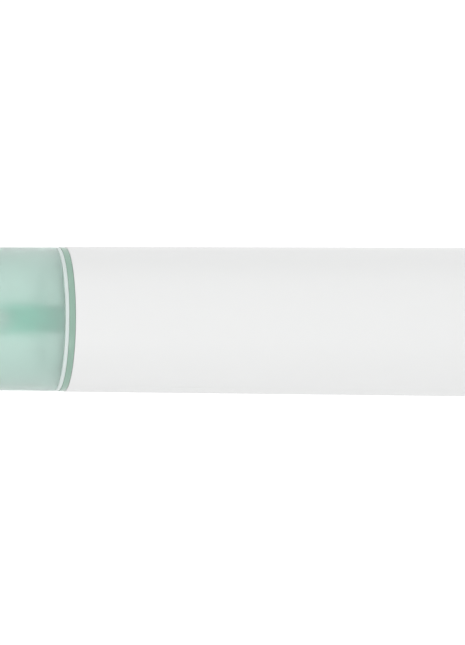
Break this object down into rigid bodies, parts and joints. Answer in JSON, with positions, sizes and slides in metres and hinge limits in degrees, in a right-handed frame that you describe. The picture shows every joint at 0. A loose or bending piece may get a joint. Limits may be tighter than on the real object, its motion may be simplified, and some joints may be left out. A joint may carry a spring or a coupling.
{
  "type": "traffic baton light",
  "caption": "Hand-held traffic baton: frosted green light tube on a white battery handle with a push button, grip sleeve, screw-off magnetic tail cap and lanyard ring.",
  "frame": {"origin": "centre of the flat base of the tail boot, on which the baton stands", "axes": "+Z along the baton from its base to its tip, +Y out of the side with the push button and the lanyard ring, +X to the right of someone who looks along +Y"},
  "size_m": [0.0422, 0.0479, 0.5419],
  "materials": {
    "shell_white": "satin moulded white ABS",
    "lens_green": "frosted translucent mint green polycarbonate",
    "collar_green": "clear darker green polycarbonate",
    "seal_pale": "pale translucent silicone",
    "frame_white": "plain moulded white plastic",
    "grip_grey": "light grey soft grip rubber",
    "button_grey": "grey silicone",
    "bumper_white": "soft white rubber",
    "board_green": "green solder mask",
    "led_green": "clear green epoxy",
    "part_black": "moulded black plastic",
    "seal_black": "black nitrile rubber",
    "can_silver": "drawn can",
    "brass": "rolled sheet",
    "steel": "zinc plated",
    "cell_jacket": "plain foil jacket, no print",
    "magnet_grey": "nickel plated magnet"
  },
  "bodies": {
    "handle": {"battery_carrier": "part_black", "cell_1": "cell_jacket", "cell_2": "cell_jacket", "cell_3": "cell_jacket", "cell_link_top": "brass", "cell_link_foot": "brass", "carrier_foot_contact": "brass", "carrier_top_contact": "brass", "handle_shell": "shell_white", "grip_sleeve": "grip_grey", "chassis": "frame_white", "front_contact": "brass", "return_strip": "brass", "driver_board": "board_green", "board_screw_1": "steel", "board_screw_2": "steel", "inductor": "part_black", "capacitor": "can_silver", "driver_chip": "part_black", "board_header": "part_black", "push_switch": "part_black", "switch_bezel": "shell_white", "lens_collar": "collar_green", "lens_seal": "seal_pale", "board_holder": "frame_white", "holder_screw_1": "steel", "holder_screw_2": "steel", "lens_tube": "lens_green", "tip_bumper": "bumper_white", "led_board": "board_green", "board_clip": "frame_white", "led_front_1": "led_green", "led_front_2": "led_green", "led_front_3": "led_green", "led_front_4": "led_green", "led_front_5": "led_green", "led_front_6": "led_green", "led_front_7": "led_green", "led_back_1": "led_green", "led_back_2": "led_green", "led_back_3": "led_green", "led_back_4": "led_green", "led_back_5": "led_green", "led_back_6": "led_green", "led_back_7": "led_green"},
    "switch_button": {"switch_button": "button_grey", "switch_plunger": "frame_white"},
    "cap_slide": {"cap_seal": "seal_black"},
    "end_cap": {"end_cap": "shell_white", "tail_boot": "grip_grey", "magnet_retainer": "frame_white", "retainer_screw_1": "steel", "retainer_screw_2": "steel", "retainer_screw_3": "steel", "magnet": "magnet_grey", "contact_cup": "brass", "battery_spring": "steel"},
    "lanyard_ring": {"lanyard_ring": "steel"}
  },
  "joints": [
    {"name": "button_press", "type": "slide", "parent": "handle", "child": "switch_button", "axis": [0, -1, 0], "range_m": [0, 0.002], "stiffness_N_per_m": 1500, "springref_m": -0.0004},
    {"name": "cap_travel", "type": "slide", "parent": "handle", "child": "cap_slide", "axis": [0, 0, -1], "range_m": [0, 0.0141]},
    {"name": "cap_turn", "type": "hinge", "parent": "cap_slide", "child": "end_cap", "pos_m": [0, 0, 0.0238], "axis": [0, 0, -1], "range_deg": [0, 1440]},
    {"name": "ring_swing", "type": "hinge", "parent": "end_cap", "child": "lanyard_ring", "pos_m": [0, 0.02363, 0.01925], "axis": [1, 0, 0], "range_deg": [-3, 165]}
  ],
  "couplings": [
    {"joint": "cap_travel", "follows": "cap_turn", "m_per_rad": 0.00055704}
  ]
}
